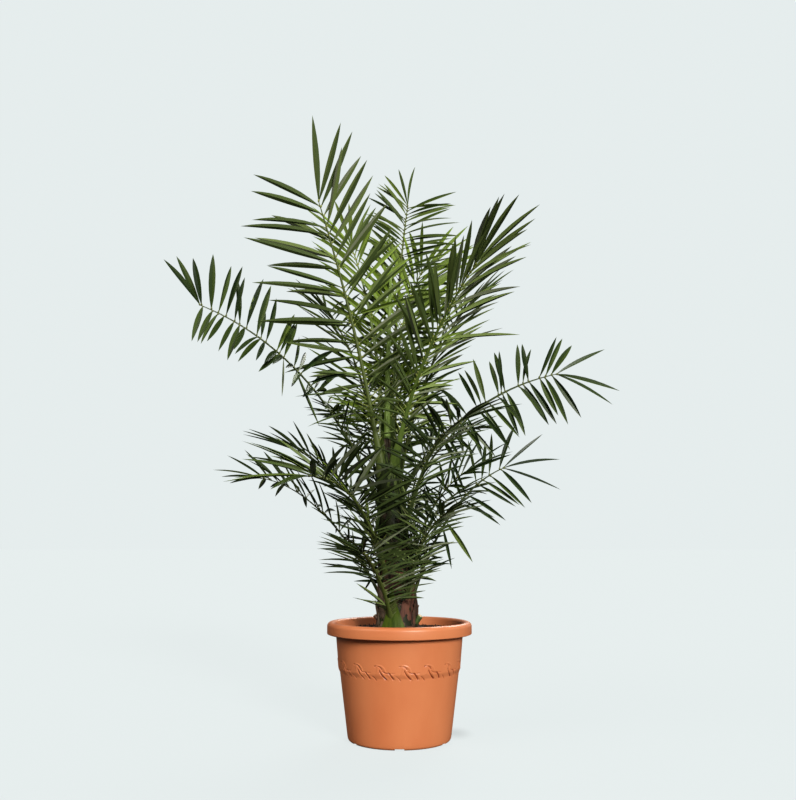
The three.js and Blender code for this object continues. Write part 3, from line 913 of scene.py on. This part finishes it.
# The lowest one at the front is whole, and brighter than the rest.
wraps.add(*shield(259, TRUNK_FOOT, 0.105, 33, 0.010, 3, narrowing=0.74, ragged=0.0, off=0.0055))
wrap_materials = [
    two_toned(name, dark, light, (0.12, 130, 5), (0.3, 70, 3, 0.4, 0.65), (0.06, 420, 4, 0.0009),
              specular=0.2)
    for name, dark, light in (("old_leaf_base", (0.008, 0.009, 0.004), (0.026, 0.030, 0.010)),
                              ("green_leaf_base", (0.008, 0.013, 0.003), (0.030, 0.044, 0.009)),
                              ("young_leaf_base", (0.045, 0.068, 0.015), (0.120, 0.165, 0.036)),
                              ("front_leaf_base", (0.036, 0.062, 0.006), (0.085, 0.125, 0.012)))]
joined("leaf_bases", wraps, wrap_materials, (), smooth=55)

# ---- The leaflets ----
# Stiff, folded, lance-shaped leaflets in two rows along each midrib, sunk into swollen yellow-green
# joints. They are leathery and a little glossy above, and pale and dull below.

LEAF_THICK = 0.0007
SAG = 0.10
FOLD = (30, 54)
WOBBLE = 15
# What the formula of a leaflet's outline comes to where it is widest.
OUTLINE_PEAK = 0.288
STATIONS = (0.0, 0.05, 0.15, 0.30, 0.45, 0.60, 0.75, 0.88, 1.0)
LEAF_ROWS = len(STATIONS) - 1
# A leaflet's faces run from ring to ring of four points, and from the last ring to its tip. The
# first two sides are the upper halves, and the others the lower halves.
leaf_faces, leaf_sides = [[0, 3, 2, 1]], [3]
for row in range(LEAF_ROWS):
    for k in range(4):
        a, b = row * 4 + k, row * 4 + (k + 1) % 4
        leaf_faces.append([a, b, b + 4, a + 4] if row < LEAF_ROWS - 1 else [a, b, LEAF_ROWS * 4])
        leaf_sides.append(k)


def leaf_width(s):
    """A leaflet's width along it: narrow at the joint, widest before the middle, a long point."""
    return max(s ** 0.85 * (1 - s) ** 0.95 / OUTLINE_PEAK, 0.16 * (1 - s))


def leaflet(start, way, across, length, wide, fold, bow, droop):
    """The points of one leaflet, folded up along its middle."""
    over = across.cross(way)
    points = []
    for s in STATIONS[:-1]:
        middle = start + way * length * s + across * bow * length * s * s
        middle.z -= droop * length * s * s
        half = wide * leaf_width(s) / 2
        opened = fold * (1 - 0.45 * s)
        flat, raised = half * math.cos(opened), half * math.sin(opened)
        points.append(middle + across * flat + over * raised)
        points.append(middle)
        points.append(middle - across * flat + over * raised)
        points.append(middle - over * LEAF_THICK * (1.6 - s))
    end = start + way * length + across * bow * length
    end.z -= droop * length
    return points + [end]


# The swollen joint at a leaflet's foot: places along it, and its girth at each.
JOINT = [(0, 0.45), (0.35, 1.0), (0.7, 0.75), (1.0, 0.4)]
JOINT_SIDES = 5
JOINT_SIZE = (0.0021, 0.0007)
joint_faces = tube_faces(len(JOINT), JOINT_SIDES)


def joint(start, way, across, size):
    """The points of one joint, which is about three times as long as it is thick."""
    over = across.cross(way)
    points = []
    for s, part in JOINT:
        for k in range(JOINT_SIDES):
            turn = math.tau * k / JOINT_SIDES
            points.append(start + way * size * (3.2 * s - 0.8)
                          + (across * math.cos(turn) + over * math.sin(turn)) * size * part)
    return points


def leaflet_way(along, side, over, hand, angle, lift):
    """The way a leaflet points, at an angle to the midrib and a lift over it, in degrees."""
    angle, lift = math.radians(angle), math.radians(lift)
    outward = side * hand * math.cos(lift) + over * math.sin(lift)
    return (along * math.cos(angle) + outward * math.sin(angle)).normalized()


# The greens of the upper faces from the oldest leaflets to the youngest, and of the undersides.
GREENS = [(0.016, 0.032, 0.008), (0.032, 0.055, 0.012), (0.060, 0.092, 0.018), (0.098, 0.138, 0.025),
          (0.135, 0.195, 0.026), (0.185, 0.270, 0.034)]
UNDERSIDES = [(0.036, 0.058, 0.014), (0.070, 0.102, 0.026), (0.140, 0.186, 0.056), (0.190, 0.252, 0.074),
              (0.180, 0.205, 0.125)]
PALE = len(UNDERSIDES) - 1
PALE_SHARE = 0.28
# How the three leaflets of a bunch gather along the midrib, and how far each is turned over it.
BUNCH = (1, 0, -1)
GATHER = 0.38
FAN = (13, -10, 2)
leaf_piles = {"crown": Heap(), "inner": Heap(), "low": Heap()}
joints = Heap()


def leaf_pile(name):
    """Which of the three pieces a frond's leaflets are part of."""
    green = FRONDS[name]["green"]
    if green > 3.8:
        return "inner"
    if green > 1.7 or name in ("mid_left", "mid_right"):
        return "crown"
    return "low"


def grow_leaflet(name, start, along, way, hand, length, wide):
    """Adds one leaflet, and its joint, to the pile of its frond."""
    green = FRONDS[name]["green"]
    across = (way * along.dot(way) - along).normalized() * hand
    across = Quaternion(way, math.radians(dice.normal(0, WOBBLE))) @ across
    fold = math.radians(dice.uniform(*FOLD))
    bow = dice.normal(0, 0.025)
    droop = SAG * dice.uniform(0.5, 1.5)
    tone = int(np.clip(round(green + 0.4 + dice.normal(0, 0.55)), 0, len(GREENS) - 1))
    under = PALE if dice.random() < PALE_SHARE else 3 if green > 3.5 else 2 if green > 2.45 else 1
    # One upper half and one lower half are painted a tone darker than the others: painted shade on one
    # side of the fold.
    painted_shade_under = max(under // 2, under - 2)
    halves = [tone, max(tone - 1, 0), len(GREENS) + painted_shade_under, len(GREENS) + under]
    points = leaflet(start, way, across, length, wide, fold, bow, droop)
    leaf_piles[leaf_pile(name)].add(points, leaf_faces, [halves[k] for k in leaf_sides])
    points = joint(start, way, across, JOINT_SIZE[0] + JOINT_SIZE[1] * dice.random())
    joints.add(points, joint_faces, 1 if green > 2.5 else 0)


for name, values in FRONDS.items():
    rib = midribs[name]
    usual_row = (*values["spread"], 1, values["lift"])
    for hand, row in zip((-1, 1), values.get("rows", [usual_row] * 2)):
        wide_angle, narrow_angle, share, raised = row
        begins = values["starts"][(hand + 1) // 2]
        for i in range(values["pairs"]):
            w = (i + 0.5) / values["pairs"]
            # The leaflets sit in twos and threes, each in its own plane.
            gather = BUNCH[i % 3] * GATHER * (1 - 0.7 * float(smoothstep(0.6, 0.95, w)))
            gather *= values["bunch"]
            w = min(max(w + gather / values["pairs"] + dice.normal(0, 0.005), 0), 0.995)
            if w < begins:
                continue
            place, along, side, over = rib.frame(rib.bare + (1 - rib.bare) * w)
            angle = narrow_angle + (wide_angle - narrow_angle) * (1 - w) ** 0.7 + dice.normal(0, 6)
            fan = FAN[i % 3] * (1 - 0.6 * float(smoothstep(0.5, 0.95, w))) * values["bunch"]
            lift = raised + fan + dice.normal(0, 7)
            way = leaflet_way(along, side, over, hand, angle, lift)
            length = values["leaf"] * (0.5 + 0.5 * float(smoothstep(0, 0.3, w))) * (1 - 0.1 * w)
            length *= share * dice.uniform(0.85, 1.05)
            rib_wide, _ = rib_size(rib.bare + (1 - rib.bare) * w, rib.bare)
            start = place + side * hand * rib_wide * 0.8 + over * 0.0006
            wide = values["wide"] * (0.7 + 0.3 * w ** 0.5) * dice.uniform(0.8, 1.08)
            grow_leaflet(name, start, along, way, hand, length, wide)
    place, along, side, over = rib.frame(1)
    for angle in values["ends"]:
        hand = 1 if angle > 0 else -1
        way = leaflet_way(along, side, over, hand, abs(angle), 0)
        grow_leaflet(name, place, side * -hand, way, hand, values["leaf"] * values["end"],
                     values["wide"] * 0.9)
    # Slim first leaflets low on the stalk, pointing every way across the heart of the crown.
    for _ in range(values["slim"]):
        u = rib.bare * dice.uniform(0.45, 1.05)
        place, along, side, over = rib.frame(u)
        hand = 1 if dice.random() < 0.5 else -1
        way = leaflet_way(along, side, over, hand, dice.uniform(25, 95), dice.uniform(-35, 60))
        grow_leaflet(name, place, along, way, hand, values["leaf"] * dice.uniform(0.45, 0.85),
                     dice.uniform(0.005, 0.010))

# A few leaflets that stand out from their rows: the frond, how far along it, the way each points,
# its length and width. The last one is snapped, and its pale end hangs down.
STRAYS = [
    ("mid_left", 0.36, (0.39, -0.05, -0.92), 0.160, 0.0085),
    ("mid_left", 0.45, (0.02, -0.05, -1.0), 0.095, 0.0070),
    ("mid_left", 0.25, (0.75, -0.20, 0.25), 0.110, 0.0150),
    ("mid_right", 0.20, (0.15, -0.25, -1.0), 0.080, 0.0120),
    ("low_right", 0.35, (0.55, -0.40, -0.75), 0.120, 0.0140),
    ("low_right", 0.30, (0.20, -0.45, -0.95), 0.105, 0.0100),
    ("crown_left", 0.40, (0.28, -0.08, 0.08), 0.300, 0.0140),
]
for name, w, way, length, wide in STRAYS:
    rib = midribs[name]
    place, along, side, over = rib.frame(rib.bare + (1 - rib.bare) * w)
    way = Vector(way).normalized()
    grow_leaflet(name, place, along, way, 1, length, wide)
snapped = place + way * length * 0.9
hangs = Vector((-0.15, -0.1, -1)).normalized()
points = leaflet(snapped, hangs, Vector((1, 0, 0)), length=0.105, wide=0.013,
                 fold=math.radians(30), bow=0.02, droop=0.0)
leaf_piles["crown"].add(points, leaf_faces, len(GREENS) + PALE)

leaf_materials = []
for kind, colours, gloss in (("green", GREENS, (1, 35, 3, 0.34, 0.52)),
                             ("underside", UNDERSIDES, (1, 35, 3, 0.6, 0.8))):
    named = {f"leaf_{kind}_{k}": colour for k, colour in enumerate(colours)}
    leaf_materials += alike(gloss, (1, 380, 3, 0.0003), named, specular=0.35)
for pile, heap in leaf_piles.items():
    blades = [f"frond_{name}_blade" for name in FRONDS if leaf_pile(name) == pile]
    joined(f"leaflets_{pile}", heap, leaf_materials, blades, smooth=12)

joint_materials = alike((1, 60, 2, 0.4, 0.6), (1, 600, 2, 0.0002), {
    "old_joint": (0.130, 0.150, 0.045), "young_joint": (0.300, 0.330, 0.085)})
joined("leaflet_joints", joints, joint_materials, (), smooth=70)

# ---- The spines ----
# Below the leaflets each stalk carries short, stiff spines that are leaflets that never opened,
# yellow-green and sharp, and longer the nearer they are to the first leaflets.

SPINES = 7
spines = Heap()
for name, rib in midribs.items():
    for hand in (-1, 1):
        for i in range(SPINES):
            u = rib.bare * (0.42 + 0.085 * i + 0.02 * dice.random())
            place, along, side, over = rib.frame(u)
            wide, _ = rib_size(u, rib.bare)
            way = leaflet_way(along, side, over, hand, dice.uniform(35, 65), dice.uniform(-5, 40))
            length = 0.016 + 0.040 * (i / (SPINES - 1)) * dice.uniform(0.7, 1.1)
            start = place + side * hand * wide * 0.7
            path = [start + way * length * s for s in (0, 0.3, 0.65, 1)]
            rod = strand(path, [0.0017, 0.0014, 0.0009, 0.0001], 5)
            spines.add(*rod, 1 if FRONDS[name]["green"] > 2.2 else 0)
spine_materials = alike((1, 60, 2, 0.35, 0.6), (1, 500, 2, 0.0002), {
    "old_spine": (0.115, 0.135, 0.045), "young_spine": (0.260, 0.300, 0.080)})
joined("leaf_spines", spines, spine_materials, (), smooth=60)

# ---- The newest leaf ----
# The heart of the crown: a frond still folded into a ribbed spear, light green, with the tips of
# its leaflets coming free at the end.

SPEAR_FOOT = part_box("spear")[0].z
SPEAR_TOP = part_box("spear")[1].z
SPEAR_RIBS = 9
SPEAR_STEPS = 14
folded = Heap()


def spear_middle(v):
    """The middle of the spear, from its foot in the trunk's tip to its point."""
    return Vector((-0.032 + 0.014 * v * v, 0, SPEAR_FOOT + (SPEAR_TOP - SPEAR_FOOT) * v))


for k in range(SPEAR_RIBS):
    turn = math.tau * k / SPEAR_RIBS
    path, radii = [], []
    reach = 1 - 0.035 * k
    for i in range(SPEAR_STEPS + 1):
        v = i / SPEAR_STEPS * reach
        spin = turn + 1.2 * v
        away = (0.0056 - 0.0042 * v) + 0.004 * float(smoothstep(0.86, 1, v / reach))
        path.append(spear_middle(v) + Vector((math.cos(spin), math.sin(spin), 0)) * away)
        radii.append(0.0030 * (1 - 0.6 * v) * (1 - float(smoothstep(0.8, 1.01, v / reach))) + 0.0002)
    folded.add(*strand(path, radii, 6), 0)
young = finish("folded_leaf", (0.2, 60, 3, 0.35, 0.6), (0.1, 400, 3, 0.0004), (0.215, 0.315, 0.065))
joined("new_leaf_spear", folded, [young], ["spear"], smooth=60)
